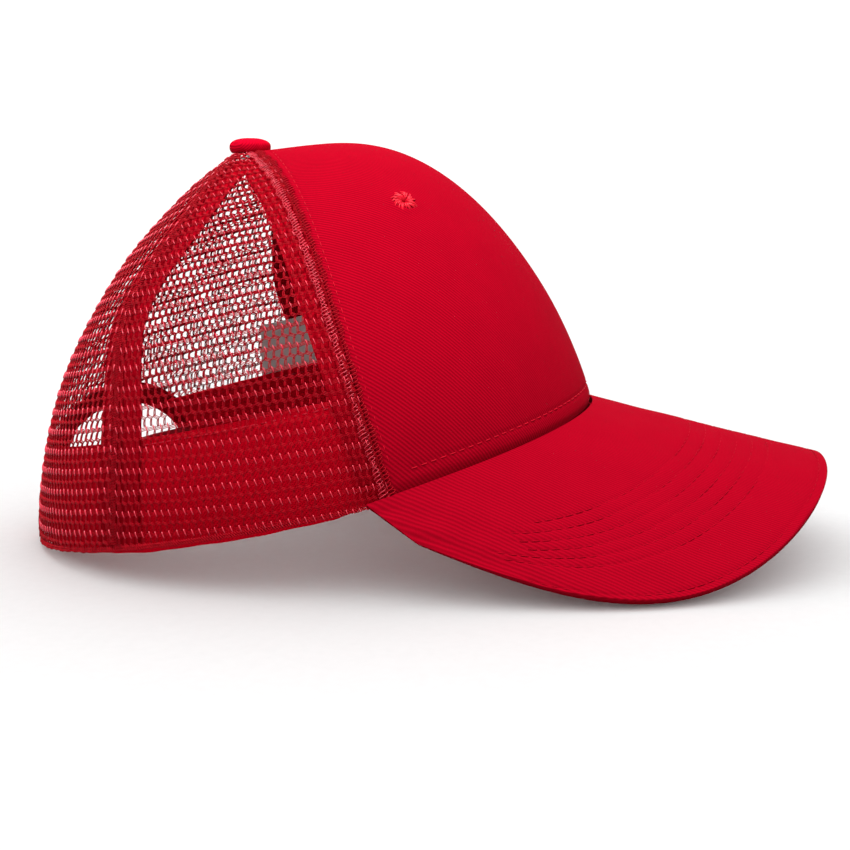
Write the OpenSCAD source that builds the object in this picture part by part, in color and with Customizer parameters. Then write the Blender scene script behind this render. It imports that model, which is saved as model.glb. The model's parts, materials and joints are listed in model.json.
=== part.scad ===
// Six-panel trucker cap: two stiffened cotton front panels, four knitted mesh
// panels, a curved brim, a sweatband and a snap strap across the rear opening.
// Origin: centre of the head opening, in the plane of the hem.
// +Z is up, the brim points towards -Y, and the wearer's left is +X.

/* [Crown] */
// Half the width of the head opening
half_width = 82.4; // [76:0.2:90]
// Half the length of the head opening
half_length = 94.2; // [88:0.2:102]
// Height of the crown's top above the middle of the head opening
top_z = 108.8; // [98:0.2:116]
// Distance of the crown's top behind the middle of the head opening
top_y = 21.4; // [12:0.1:26]
// Slope of the hem plane, which rises towards the brim
hem_pitch = 12; // [9:0.5:15]
// Angle by which the soft back leans round towards the left
back_lean = 22; // [16:1:24]
// Rise of the stiff front panels above the crown's top
front_swell = 5; // [2:0.5:8]
// Thickness of the cotton of the front panels
cotton_t = 0.8; // [0.5:0.1:1]
// Thickness of the knitted mesh
mesh_t = 0.9; // [0.5:0.1:1]
// Thickness of the buckram that stiffens the front panels
buckram_t = 0.5; // [0.3:0.1:0.5]
// Width of the tapes that cover the seams inside
tape_w = 15; // [10:1:18]

/* [Brim] */
// Length of the brim in front of the crown
brim_length = 74; // [65:1:80]
// Height of the brim's tip above the middle of the head opening
brim_tip_z = 10.5; // [6:0.5:16]
// How far the middle of each side of the brim curls down below its arch
brim_curl = 3.4; // [0:0.2:8]
// How far each side of the brim bulges beyond the crown
brim_bulge = 12.3; // [6:0.1:16]
// Squareness of the brim's outline, where 2 is an ellipse
brim_square = 2.5; // [2:0.1:3]
// Thickness of the plastic board inside the brim
board_t = 1.6; // [1.2:0.1:2]
// Number of rows of stitching on the brim
stitch_rows = 7; // [5:1:8]

/* [Sweatband and closure] */
// Height of the sweatband
sweatband_h = 33; // [28:1:36]
// Half the width of the rear opening, to the binding's outer edge
arch_half_w = 49; // [49:1:58]
// Height of the rear opening, to the binding's outer edge
arch_h = 44; // [44:1:60]
// Height of the snap strap
strap_h = 18; // [16:1:18]
// Thickness of the snap strap
strap_t = 1; // [0.8:0.1:1.2]
// Number of studs on one strap, and of holes in the other
snap_count = 6; // [5:1:6]
// Radius of a stud
stud_r = 1.5; // [1.3:0.1:1.8]
// Gap all round a stud in its hole
stud_gap = 1; // [0.8:0.1:1.2]

/* [Button and eyelets] */
// Radius of the top button
button_r = 6.8; // [6:0.1:8]
// Height of the top button
button_h = 3.6; // [3:0.1:6]
// Radius of an eyelet at the middle of its thread
eyelet_r = 3.2; // [2.5:0.1:4]

/* [Hidden] */
left = 1;
right = -1;
cotton_red = "#D0021F";
mesh_red = "#B51431";
trim_red = "#A80A22";
thread_red = "#E23550";
stiff_white = "#E6E3DC";

// Crown form: each meridian is a superellipse whose two exponents change
// smoothly from front to side to back, round a small flat top.
flat_top_r = 4;
front_form = [2.82, 1.32];
side_form = [1.34, 2.25];
back_form = [1.08, 2.2];
// Seams, as angles round the crown from the front
front_seam_top = 74.7;
front_seam_sweep = 7.6;
back_seam = 110.8;
back_seam_bow = 5.7;
brim_end = 76.6;
brim_rise = 7.3;
seam_gap = 0.4;
// Angle from the front where the lean of the soft back begins, and how soon it grows
lean_from = 75;
lean_ease = 0.6;
// Depths of the layers below the crown's outer surface
buckram_d = 1;
tape_d = 1.7;
tape_t = 0.6;
strap_outer_d = 0.6;
strap_inner_d = 1.95;
sweatband_d = 3.2;
sweatband_t = 1.2;
binding_w = 7.5;
label_d = 2.6;
// Brim layers, below the brim's top surface
cover_t = 0.6;
brim_gap = 0.1;
board_free_cols = 1;
rim_round = 0.9;
// Straps, along the hem from the middle of the back
hinge_at = 33.5;
hinge_gap = 0.6;
strap_tip = 22;
strap_low = 2;
snap_pitch = 9;
snap_first = 18;
root_end = 54;

function blend3(a, f, s, b) =
    let (c = cos(a)) c > 0 ? s + (f - s) * c * c : s + (b - s) * c * c;
function smooth(x) = x * x * (3 - 2 * x);
// An angle round the crown, with the back's lean added
function turned(a) =
    let (from_front = 180 - abs(180 - abs(a)))
    a - back_lean * pow(smooth(max(0, from_front - lean_from) / (180 - lean_from)), lean_ease);
function hem_z(y) = -y * tan(hem_pitch);
function hem_xy(a) = [half_width * sin(turned(a)), -half_length * cos(turned(a))];
function reach(a) = norm(hem_xy(a) - [0, top_y]);
function form(a, i) = blend3(turned(a), front_form[i], side_form[i], back_form[i]);
function hem_to_top(a) = top_z - hem_z(hem_xy(a)[1]);

// A point of the crown's outer surface: a is the angle round the crown from
// the front, positive to the left, and t runs from 0 at the hem to 90 on top.
function crown_point(a, t) =
    let (
        h = hem_xy(a),
        r = pow(cos(t), 2 / form(a, 0)),
        share = (flat_top_r + (reach(a) - flat_top_r) * r) / reach(a),
        rise = pow(sin(t), 2 / form(a, 1)),
        swell = front_swell * max(0, cos(turned(a))) * pow(sin(180 * pow(r, 0.8)), 2)
    )
    [
        h[0] * share,
        top_y + (h[1] - top_y) * share,
        top_z - hem_to_top(a) * (1 - rise) + swell
    ];
function unit(v) = v / norm(v);
function crown_normal(a, t) =
    let (
        along = crown_point(a + 1, t) - crown_point(a - 1, t),
        up = crown_point(a, min(t + 1, 89.5)) - crown_point(a, max(t - 1, 0))
    )
    unit(cross(along, up));
// A point d below the crown's outer surface
function layer_point(a, t, d) = crown_point(a, t) - d * crown_normal(a, t);

// t at a height above the hem, and at a radius round the top
function t_at_height(a, h) = asin(pow(max(0, h) / hem_to_top(a), form(a, 1) / 2));
function t_at_radius(a, r) =
    acos(pow((r - flat_top_r) / (reach(a) - flat_top_r), form(a, 0) / 2));
function radius_at(a, t) =
    flat_top_r + (reach(a) - flat_top_r) * pow(cos(t), 2 / form(a, 0));
// Angle that spans a width at one point of the crown
function spread(a, t, w) = w / radius_at(a, t) * 180 / PI;

// Height above the hem of the line where the brim meets the crown
function brim_line(a) =
    abs(a) < brim_end ? brim_rise * pow(cos(90 * a / brim_end), 0.63) : 0;
function brim_line_t(a) = t_at_height(a, brim_line(a));
function front_seam(t) = front_seam_top - front_seam_sweep * pow(1 - sin(t), 3);
function arch_angle(mm) = mm / half_width * 180 / PI;
function lerp(a, b, s) = a + (b - a) * s;

// A closed sheet between two grids of points with the same rows and columns.
// Its faces are turned outwards whichever way the grids run.
module sheet(first, second) {
    turn = cross(first[0][1] - first[0][0], first[1][0] - first[0][0]);
    flip = turn * (first[0][0] - second[0][0]) > 0;
    front = flip ? second : first;
    back = flip ? first : second;
    rows = len(front);
    cols = len(front[0]);
    n = rows * cols;
    function at(i, j, side) = i * cols + j + side * n;
    // Two triangles for four corners, in order
    function pair(a, b, c, d) = [[a, b, c], [a, c, d]];
    faces = [
        for (i = [0:rows - 2], j = [0:cols - 2]) each concat(
            pair(at(i, j, 0), at(i, j + 1, 0), at(i + 1, j + 1, 0), at(i + 1, j, 0)),
            pair(at(i, j, 1), at(i + 1, j, 1), at(i + 1, j + 1, 1), at(i, j + 1, 1))
        ),
        for (i = [0:rows - 2]) each concat(
            pair(at(i, 0, 0), at(i + 1, 0, 0), at(i + 1, 0, 1), at(i, 0, 1)),
            pair(at(i, cols - 1, 0), at(i, cols - 1, 1), at(i + 1, cols - 1, 1), at(i + 1, cols - 1, 0))
        ),
        for (j = [0:cols - 2]) each concat(
            pair(at(0, j, 0), at(0, j, 1), at(0, j + 1, 1), at(0, j + 1, 0)),
            pair(at(rows - 1, j, 0), at(rows - 1, j + 1, 0), at(rows - 1, j + 1, 1), at(rows - 1, j, 1))
        )
    ];
    polyhedron(points = concat([for (r = front) each r], [for (r = back) each r]), faces = faces);
}

// A crown layer from depth d to d + thick over a grid of [a, t] places
module crown_layer(places, d, thick) {
    sheet(
        [for (row = places) [for (p = row) layer_point(p[0], p[1], d)]],
        [for (row = places) [for (p = row) layer_point(p[0], p[1], d + thick)]]
    );
}

panel_rows = 14;
panel_cols = 12;
// Grid for a panel: the rows follow t and the columns run from seam to seam
function panel_places(side, from_seam, to_seam, base, top_r) = [
    for (i = [0:panel_rows]) [
        for (j = [0:panel_cols])
            let (
                guess = side * lerp(from_seam(45), to_seam(45), j / panel_cols),
                t = lerp(base(guess), t_at_radius(guess, top_r), i / panel_rows),
                half_gap = spread(guess, t, seam_gap / 2)
            )
            [side * lerp(from_seam(t) + half_gap, to_seam(t) - half_gap, j / panel_cols), t]
    ]
];

// Front panels and buckram
centre_seam = function (t) 0;
side_seam = function (t) front_seam(t);
rear_seam = function (t) back_seam + back_seam_bow * exp(-pow((t - 35) / 13, 2));
back_centre = function (t) 180;
brim_base = function (a) brim_line_t(a);
hem_base = function (a) 0;
module front_layer(side, d, thick, top_r) {
    crown_layer(panel_places(side, centre_seam, side_seam, brim_base, top_r), d, thick);
}
module front_panel(side) { color(cotton_red) front_layer(side, 0, cotton_t, flat_top_r + 0.01); }
module buckram(side) { color(stiff_white) front_layer(side, buckram_d, buckram_t, 6); }

// Mesh panels
module side_mesh(side) {
    color(mesh_red) crown_layer(
        panel_places(side, side_seam, rear_seam, hem_base, flat_top_r + 0.01), 0, mesh_t);
}
arch_cols = 9;
flank_cols = 7;
edge_in = 1.8;
mesh_arch_w = arch_half_w - binding_w + edge_in;
mesh_arch_h = arch_h - binding_w + edge_in;
// Columns of a back panel bunch up towards the foot of the rear opening
function back_column(j) =
    j <= flank_cols
        ? lerp(back_seam, 180 - arch_angle(mesh_arch_w), j / flank_cols)
        : 180 - arch_angle(mesh_arch_w * cos(90 * (j - flank_cols) / arch_cols));
function arch_height(a) =
    mesh_arch_h * sqrt(max(0, 1 - pow((180 - abs(a)) / arch_angle(mesh_arch_w), 2)));
module back_mesh(side) {
    cols = flank_cols + arch_cols;
    color(mesh_red) crown_layer([
        for (i = [0:panel_rows]) [
            for (j = [0:cols])
                let (
                    guess = side * back_column(j),
                    foot = j <= flank_cols ? 0 : t_at_height(guess, arch_height(guess)),
                    t = lerp(foot, t_at_radius(guess, flat_top_r + 0.01), i / panel_rows),
                    a = guess + side * (rear_seam(t) - back_seam) * max(0, 1 - j / flank_cols),
                    edge = j == 0 ? 1 : j == cols ? -1 : 0
                )
                [a + side * edge * spread(a, t, seam_gap / 2), t]
        ]
    ], 0, mesh_t);
}

// Seam tapes: strips inside the crown that narrow where the seams meet
tape_top_r = 9;
tape_max_angle = 18.4;
back_tape_w = 11;
module seam_tape(side, seam, base_h, width) {
    color(trim_red) crown_layer([
        for (i = [0:panel_rows]) [
            for (j = [-2:2])
                let (
                    a0 = side * seam(45),
                    t = lerp(t_at_height(a0, base_h), t_at_radius(a0, tape_top_r), i / panel_rows),
                    half = min(spread(a0, t, width / 2), tape_max_angle)
                )
                [side * seam(t) + half * j / 2, t]
        ]
    ], tape_d, tape_t);
}
module front_centre_tape() { seam_tape(left, centre_seam, brim_rise + 1, tape_w); }
module front_side_tape(side) { seam_tape(side, side_seam, brim_rise, tape_w); }
module side_back_tape(side) { seam_tape(side, rear_seam, 0, back_tape_w); }
module back_centre_tape() { seam_tape(left, back_centre, arch_h + 1, back_tape_w); }

// Top button: cloth cover, steel shell and the rivet that holds it
button_lift = 0.4;
cover_cloth = 0.5;
rivet_r = 1.2;
function dome(r, h, n) = [for (i = [0:n]) [r * cos(90 * i / n), h * sin(90 * i / n)]];
module on_top() { translate([0, top_y, top_z]) children(); }
module button_cup(r, h, thick) {
    rotate_extrude($fn = 48) difference() {
        polygon(concat([[0, 0]], dome(r, h, 10)));
        polygon(concat([[0, -1], [r - thick, -1]], dome(r - thick, h - thick, 10)));
    }
}
module button_cover() {
    color(cotton_red) on_top() translate([0, 0, button_lift]) button_cup(button_r, button_h, cover_cloth);
}
module button_shell() {
    r = button_r - cover_cloth - 0.1;
    h = button_h - cover_cloth - 0.1;
    color("silver") on_top() translate([0, 0, button_lift]) button_cup(r, h, 0.5);
}
module button_rivet() {
    post_top = button_lift + button_h - cover_cloth - 0.8;
    disc_z = -2.1;
    color("silver") on_top() {
        translate([0, 0, disc_z]) cylinder(h = post_top - disc_z, r = rivet_r, $fn = 24);
        translate([0, 0, disc_z - 0.6]) cylinder(h = 0.6, r = 3.4, $fn = 32);
    }
}

// Eyelets: rings of thread round a vent near the top of each front panel
eyelet_a = 42;
eyelet_t = 55.1;
thread_r = 0.7;
module eyelet(side) {
    p = layer_point(side * eyelet_a, eyelet_t, -thread_r - 0.15);
    n = crown_normal(side * eyelet_a, eyelet_t);
    color(thread_red) translate(p)
        rotate([0, acos(n[2]), atan2(n[1], n[0])])
            rotate_extrude($fn = 40) translate([eyelet_r, 0]) circle(r = thread_r, $fn = 16);
}

// Sweatband: a folded band inside the hem, open across the rear opening
sweatband_cols = 72;
sweatband_drop = 1.6;
// Angle at which the band ends at a height, under the middle of the arch's binding
function sweatband_end(h) =
    let (w = arch_half_w - binding_w / 2, tall = arch_h - binding_w / 2)
    180 - arch_angle(w * sqrt(1 - pow(h / tall, 2)));
function sweatband_row(i, d) = [
    for (j = [0:sweatband_cols])
        let (
            h = sweatband_h * i / 4,
            a = sweatband_end(h) * (2 * j / sweatband_cols - 1),
            p = layer_point(a, t_at_height(a, brim_line(a) + h), d)
        )
        i == 0 ? p - [0, 0, sweatband_drop] : p
];
module sweatband() {
    color(trim_red) sheet(
        [for (i = [0:4]) sweatband_row(i, sweatband_d)],
        [for (i = [0:4]) sweatband_row(i, sweatband_d + sweatband_t)]
    );
}

// A row of stitching: n stretches of thin thread along a line, at depth d
thread_half = 0.25;
thread_t = 0.35;
module thread_row(line, from, to, d, n) {
    color(thread_red) sheet(
        [for (i = [0:n]) [for (s = [-1, 1]) line(lerp(from, to, i / n), s * thread_half, d)]],
        [for (i = [0:n]) [for (s = [-1, 1]) line(lerp(from, to, i / n), s * thread_half, d + thread_t)]]
    );
}
module sweatband_stitching() {
    line = function (a, w, d)
        layer_point(a, t_at_height(a, 5 + w + brim_line(a)), d);
    // Each half runs from column to column of the band
    end = sweatband_end(5);
    step = 2 * end / sweatband_cols;
    for (side = [left, right])
        thread_row(line, side * step, side * (end - step),
            sweatband_d + sweatband_t + 0.4, sweatband_cols / 2 - 2);
}
module crown_topstitching() {
    stitch_d = -0.6;
    from_seam = 2.6;
    above_brim = 5.5;
    for (side = [left, right]) {
        // Each row runs beside its seam, on the front panel's side of it
        for (row = [[centre_seam, 1], [side_seam, -1]]) {
            line = function (t, w, d)
                let (a0 = row[0](t), a = a0 + spread(a0, t, row[1] * from_seam + w))
                layer_point(side * a, t, d);
            mid = row[0](45);
            thread_row(line, t_at_height(mid, brim_rise + above_brim), t_at_radius(mid, 12),
                stitch_d, panel_rows);
        }
        above = function (a, w, d)
            layer_point(a, t_at_height(a, above_brim + w + brim_line(a)), d);
        thread_row(above, side * 2.5, side * 62, stitch_d, panel_rows);
    }
}

// Care label, sewn in above the sweatband on the left side
module care_label() {
    color(stiff_white) crown_layer([
        for (h = [30:6:54]) [for (a = [108:4:128]) [a, t_at_height(a, h)]]
    ], label_d, 0.3);
}

// Binding: a folded tape that wraps the mesh's edge round the rear opening
arch_steps = 26;
function arch_place(s, out) =
    let (
        w = arch_half_w - binding_w + out,
        h = arch_h - binding_w + out,
        a = 180 - arch_angle(w * cos(s))
    )
    [a, t_at_height(a, h * sin(s))];
function arch_point(s, out, d) = let (p = arch_place(s, out)) layer_point(p[0], p[1], d);
module arch_binding() {
    outside_d = -0.7;
    inside_d = tape_d;
    fold = 0.4;
    color(trim_red) sheet(
        [for (i = [0:arch_steps]) let (s = 180 * i / arch_steps) [
            arch_point(s, binding_w, outside_d), arch_point(s, 0, outside_d),
            arch_point(s, 0, inside_d), arch_point(s, binding_w, inside_d)
        ]],
        [for (i = [0:arch_steps]) let (s = 180 * i / arch_steps) [
            arch_point(s, binding_w, outside_d + fold), arch_point(s, 0.8, outside_d + fold),
            arch_point(s, 0.8, inside_d - fold), arch_point(s, binding_w, inside_d - fold)
        ]]
    );
}
module arch_stitching() {
    line = function (s, w, d) arch_point(s, binding_w - 1.6 + w, d);
    thread_row(line, 2, 178, -1.15, arch_steps);
}

// Brim: ruled between the crown's lower front edge and its own outer edge.
// Its outline is a superellipse in plan, and it arches over from side to side.
horn = hem_xy(brim_end);
brim_tip_y = -half_length - brim_length;
crest_slope = (hem_z(-half_length) + brim_rise - brim_tip_z) / brim_length;
arch_power = 1.9;
function crest_z(y) = brim_tip_z + crest_slope * (y - brim_tip_y);
arch_drop = (crest_z(horn[1]) - hem_z(horn[1])) / pow(horn[0], arch_power);
function brim_edge(u) =
    let (
        s = abs(sin(90 * u)),
        c = cos(90 * u),
        x = horn[0] * pow(s, 2 / brim_square) + 2 * brim_bulge * s * s * c,
        y = lerp(horn[1], brim_tip_y, pow(c, 2 / brim_square)),
        curl = brim_curl * s * pow(sin(180 * u), 2)
    )
    [sign(u) * x, y, crest_z(y) - arch_drop * pow(x, arch_power) - curl];
function brim_root(u) = layer_point(u * brim_end, brim_line_t(u * brim_end), -0.35);
function brim_surface(u, v) = lerp(brim_root(u), brim_edge(u), v);
function brim_normal(u, v) =
    let (
        across = brim_surface(min(u + 0.01, 0.99), v) - brim_surface(max(u - 0.01, -0.99), v),
        out = brim_edge(u) - brim_root(u)
    )
    unit(cross(out, across));
function brim_point(u, v, d) = brim_surface(u, v) - d * brim_normal(u, v);
brim_u_end = 0.94;
brim_cols = 30;
brim_v = [0, 0.3, 0.6, 0.85, 0.97, 1];
// Both covers draw in round the rim
function drawn_in(v) = v > 0.99 ? rim_round : 0;
module brim_layer(us, vs, d, thick, inset) {
    sheet(
        [for (v = vs) [for (u = us) brim_point(u, v, d + inset * drawn_in(v))]],
        [for (v = vs) [for (u = us) brim_point(u, v, d + thick + inset * drawn_in(v))]]
    );
}
board_d = cover_t + brim_gap;
under_d = board_d + board_t + brim_gap;
// Places across the brim; the board leaves out some of the covers' columns at each end
function brim_us(free_cols) =
    [for (j = [free_cols:brim_cols - free_cols]) lerp(-brim_u_end, brim_u_end, j / brim_cols)];
module brim_top_cover() { color(cotton_red) brim_layer(brim_us(0), brim_v, 0, cover_t, 1); }
module brim_under_cover() { color(trim_red) brim_layer(brim_us(0), brim_v, under_d, cover_t, -1); }
module brim_board() {
    vs = [0.04, 0.3, 0.6, 0.85, 0.93];
    color(stiff_white) brim_layer(brim_us(board_free_cols), vs, board_d, board_t, 0);
}
module brim_stitching() {
    row_pitch = 0.066;
    last_row = 0.965;
    for (i = [0:stitch_rows - 1]) {
        v0 = i == 0 ? last_row : 0.82 - row_pitch * i;
        // Rows start on one of the cover's columns, and end on one
        free_cols = 2 + floor(i / 3);
        reach_u = brim_u_end * (1 - 2 * free_cols / brim_cols);
        line = function (u, w, d)
            brim_point(u, v0 + w / norm(brim_edge(u) - brim_root(u)), d);
        thread_row(line, -reach_u, reach_u, -0.55, brim_cols - 2 * free_cols);
    }
}

// Snap strap: two halves that overlap across the rear opening. Each bends at
// its sewn root, where a short length of it is held under the sweatband.
function back_place(mm, h, d) =
    let (a = 180 - arch_angle(mm)) layer_point(a, t_at_height(a, h), d);
module strap_strip(from, to, n, from_d, to_d) {
    ramp = 10;
    // A strap can change its depth over its first stretch
    function depth(mm) = lerp(from_d, to_d, min(1, abs(mm - from) / ramp));
    mms = [for (i = [0:n]) lerp(from, to, i / n)];
    heights = [for (i = [0:2]) strap_low + strap_h * i / 2];
    sheet(
        [for (h = heights) [for (mm = mms) back_place(mm, h, depth(mm))]],
        [for (h = heights) [for (mm = mms) back_place(mm, h, depth(mm) + strap_t)]]
    );
}
module snap_pegs(side, r, from_d, to_d) {
    mid = strap_low + strap_h / 2;
    for (i = [0:snap_count - 1]) {
        mm = side * (-snap_first + i * snap_pitch);
        foot = back_place(mm, mid, from_d);
        n = crown_normal(180 - arch_angle(mm), t_at_height(180 - arch_angle(mm), mid));
        translate(foot) rotate([0, acos(n[2]), atan2(n[1], n[0])])
            cylinder(h = from_d - to_d, r = r, $fn = 24);
    }
}
module strap_with_holes() {
    color(trim_red) difference() {
        strap_strip(hinge_at - hinge_gap, -strap_tip, 20, strap_inner_d, strap_outer_d);
        snap_pegs(left, stud_r + stud_gap, strap_inner_d + 2, strap_outer_d - 2);
    }
}
module strap_with_studs() {
    color(trim_red) union() {
        strap_strip(hinge_gap - hinge_at, strap_tip, 20, strap_inner_d, strap_inner_d);
        snap_pegs(right, stud_r, strap_inner_d + strap_t / 2, strap_outer_d - 0.1);
    }
}
module strap_root(side) {
    color(trim_red) strap_strip(side * (hinge_at + hinge_gap), side * root_end, 4,
        strap_inner_d, strap_inner_d);
}

front_panel(left);  // front_panel_left
front_panel(right);  // front_panel_right
buckram(left);  // buckram_left
buckram(right);  // buckram_right
side_mesh(left);  // side_mesh_left
side_mesh(right);  // side_mesh_right
back_mesh(left);  // back_mesh_left
back_mesh(right);  // back_mesh_right
front_centre_tape();
front_side_tape(left);  // front_side_tape_left
front_side_tape(right);  // front_side_tape_right
side_back_tape(left);  // side_back_tape_left
side_back_tape(right);  // side_back_tape_right
back_centre_tape();
button_cover();
button_shell();
button_rivet();
eyelet(left);  // eyelet_left
eyelet(right);  // eyelet_right
sweatband();
sweatband_stitching();
care_label();
crown_topstitching();
arch_binding();
arch_stitching();
brim_top_cover();
brim_board();
brim_under_cover();
brim_stitching();
strap_root(left);  // strap_root_left
strap_root(right);  // strap_root_right
strap_with_holes();
strap_with_studs();
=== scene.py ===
"""Looks of the trucker mesh cap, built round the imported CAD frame.

Lengths below are millimetres in the CAD frame, and angles are degrees, as in
the CAD source; add_piece() turns points into metres.
"""
import json

import bpy
import numpy as np
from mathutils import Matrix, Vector

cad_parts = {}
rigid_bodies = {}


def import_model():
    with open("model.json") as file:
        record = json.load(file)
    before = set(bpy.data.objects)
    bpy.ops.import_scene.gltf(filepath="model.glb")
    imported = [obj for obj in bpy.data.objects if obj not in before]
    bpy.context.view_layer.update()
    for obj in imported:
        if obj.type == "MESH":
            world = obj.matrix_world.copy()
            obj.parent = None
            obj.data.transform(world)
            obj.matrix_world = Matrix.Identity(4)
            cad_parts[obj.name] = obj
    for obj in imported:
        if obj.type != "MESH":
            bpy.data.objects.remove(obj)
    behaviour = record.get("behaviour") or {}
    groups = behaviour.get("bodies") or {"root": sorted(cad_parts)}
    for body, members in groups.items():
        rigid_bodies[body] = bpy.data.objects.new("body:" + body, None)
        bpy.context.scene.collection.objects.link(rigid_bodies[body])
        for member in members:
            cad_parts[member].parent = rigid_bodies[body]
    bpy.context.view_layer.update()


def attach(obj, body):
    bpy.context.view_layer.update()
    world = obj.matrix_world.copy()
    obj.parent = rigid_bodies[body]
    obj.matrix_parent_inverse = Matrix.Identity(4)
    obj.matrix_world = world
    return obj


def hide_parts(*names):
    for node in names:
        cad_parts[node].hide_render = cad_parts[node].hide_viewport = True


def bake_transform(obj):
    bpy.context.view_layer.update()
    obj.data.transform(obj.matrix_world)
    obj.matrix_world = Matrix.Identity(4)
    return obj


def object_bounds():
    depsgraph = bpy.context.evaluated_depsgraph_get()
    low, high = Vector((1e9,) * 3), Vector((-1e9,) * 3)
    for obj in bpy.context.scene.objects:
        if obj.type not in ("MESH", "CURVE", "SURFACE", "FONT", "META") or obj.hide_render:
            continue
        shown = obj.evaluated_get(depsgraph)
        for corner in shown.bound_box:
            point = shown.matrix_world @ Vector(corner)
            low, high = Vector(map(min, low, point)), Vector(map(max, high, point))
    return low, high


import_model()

MM = 0.001
LEFT, RIGHT = 1, -1
SIDES = ((LEFT, "left"), (RIGHT, "right"))
rng = np.random.default_rng(7)

# --- crown form
HALF_WIDTH, HALF_LENGTH = 82.4, 94.2
TOP_Y, TOP_Z = 21.4, 108.8
HEM_SLOPE = np.tan(np.radians(12))
BACK_LEAN, LEAN_FROM, LEAN_EASE = 22, 75, 0.6
FRONT_SWELL = 5
FLAT_TOP_R = 4
FRONT_FORM, SIDE_FORM, BACK_FORM = (2.82, 1.32), (1.34, 2.25), (1.08, 2.2)
FRONT_SEAM, FRONT_SEAM_BACK = 74.7, 7.6
BACK_SEAM, BACK_SEAM_BOW, BOW_AT, BOW_REACH = 110.8, 5.7, 35, 13
BRIM_END, BRIM_RISE, BRIM_LINE_POWER = 76.6, 7.3, 0.63
ARCH_HALF_W, ARCH_H, BINDING_W = 49, 44, 7.5
SWEATBAND_H = 33


def sind(degrees):
    return np.sin(np.radians(degrees))


def cosd(degrees):
    return np.cos(np.radians(degrees))


def smooth(x):
    x = np.clip(x, 0, 1)
    return x * x * (3 - 2 * x)


def turned(a):
    """An angle round the crown, with the lean of its soft back added."""
    from_front = 180 - np.abs(180 - np.abs(a))
    return a - BACK_LEAN * smooth((from_front - LEAN_FROM) / (180 - LEAN_FROM)) ** LEAN_EASE


def hem_xy(a):
    turn = np.radians(turned(a))
    return HALF_WIDTH * np.sin(turn), -HALF_LENGTH * np.cos(turn)


def form(a, i):
    c = cosd(turned(a))
    ahead = SIDE_FORM[i] + (FRONT_FORM[i] - SIDE_FORM[i]) * c * c
    behind = SIDE_FORM[i] + (BACK_FORM[i] - SIDE_FORM[i]) * c * c
    return np.where(c > 0, ahead, behind)


def hem_to_top(a):
    return TOP_Z + hem_xy(a)[1] * HEM_SLOPE


def crown(a, t):
    """Points of the crown's outer surface, at angle a from the front and t from 0 (hem) to 90 (top)."""
    a, t = np.broadcast_arrays(np.asarray(a, float), np.asarray(t, float))
    x, y = hem_xy(a)
    reach = reach_of(a)
    r = cosd(t) ** (2 / form(a, 0))
    share = (FLAT_TOP_R + (reach - FLAT_TOP_R) * r) / reach
    rise = sind(t) ** (2 / form(a, 1))
    ahead = np.maximum(0, cosd(turned(a)))
    z = TOP_Z - hem_to_top(a) * (1 - rise) + FRONT_SWELL * ahead * np.sin(np.pi * r**0.8) ** 2
    return np.stack([x * share, TOP_Y + (y - TOP_Y) * share, z], -1)


def unit(v):
    return v / np.maximum(np.linalg.norm(v, axis=-1, keepdims=True), 1e-12)


def crown_normal(a, t):
    along = crown(a + 1, t) - crown(a - 1, t)
    up = crown(a, np.minimum(t + 1, 89.5)) - crown(a, np.maximum(t - 1, 0))
    return unit(np.cross(along, up))


def layer(a, t, d):
    """Points a depth d below the crown's outer surface."""
    return crown(a, t) - np.asarray(d, float)[..., None] * crown_normal(a, t)


def t_at_height(a, h):
    return np.degrees(np.arcsin(np.clip(np.maximum(0, h) / hem_to_top(a), 0, 1) ** (form(a, 1) / 2)))


def height_at(a, t):
    return hem_to_top(a) * sind(t) ** (2 / form(a, 1))


def reach_of(a):
    x, y = hem_xy(a)
    return np.hypot(x, y - TOP_Y)


def t_at_radius(a, r):
    return np.degrees(np.arccos(((r - FLAT_TOP_R) / (reach_of(a) - FLAT_TOP_R)) ** (form(a, 0) / 2)))


def radius_at(a, t):
    return FLAT_TOP_R + (reach_of(a) - FLAT_TOP_R) * cosd(t) ** (2 / form(a, 0))


def spread(a, t, width):
    """The angle that a width takes up round the crown."""
    return np.degrees(width / radius_at(a, t))


def brim_line(a):
    """Height of the crown's lower edge, which rises over the brim."""
    inside = cosd(90 * np.clip(np.abs(a) / BRIM_END, 0, 1))
    return BRIM_RISE * np.maximum(inside, 0) ** BRIM_LINE_POWER


def front_seam(t):
    return FRONT_SEAM - FRONT_SEAM_BACK * (1 - sind(t)) ** 3


def centre_seam(t):
    return 0 * t


def rear_seam(t):
    return BACK_SEAM + BACK_SEAM_BOW * np.exp(-(((t - BOW_AT) / BOW_REACH) ** 2))


def back_centre(t):
    return 180 + 0 * t


def beside_seam(side, seam, shift):
    """The line of places at a distance beside a seam."""
    return lambda t: (side * (seam(t) + spread(seam(t), t, shift)), t)


def above_edge(height, side=LEFT):
    """The line of places at a height above the crown's lower edge."""
    return lambda a: (side * a, t_at_height(a, brim_line(a) + height))


def arch_angle(mm):
    return np.degrees(mm / HALF_WIDTH)


def run_along(points):
    """The distance run at each point, along the first axis."""
    steps = np.linalg.norm(np.diff(points, axis=0), axis=-1)
    return np.concatenate([np.zeros((1,) + steps.shape[1:]), np.cumsum(steps, axis=0)])


def weave_map(across, up):
    """Weave coordinates in millimetres, for a whole grid."""
    return np.stack(np.broadcast_arrays(across, up), -1)


def lerp(a, b, s):
    return a + (b - a) * s


def ripple(a, t, size):
    """A gentle unevenness of soft cloth, in millimetres."""
    a, t = np.radians(a), np.radians(t)
    return size * (
        np.sin(5 * a + 3 * t + 0.4) * np.cos(4 * t - 2 * a)
        + 0.6 * np.sin(11 * a - 7 * t + 1.7)
        + 0.4 * np.sin(17 * t + 6 * a)
    ) / 2


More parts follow.
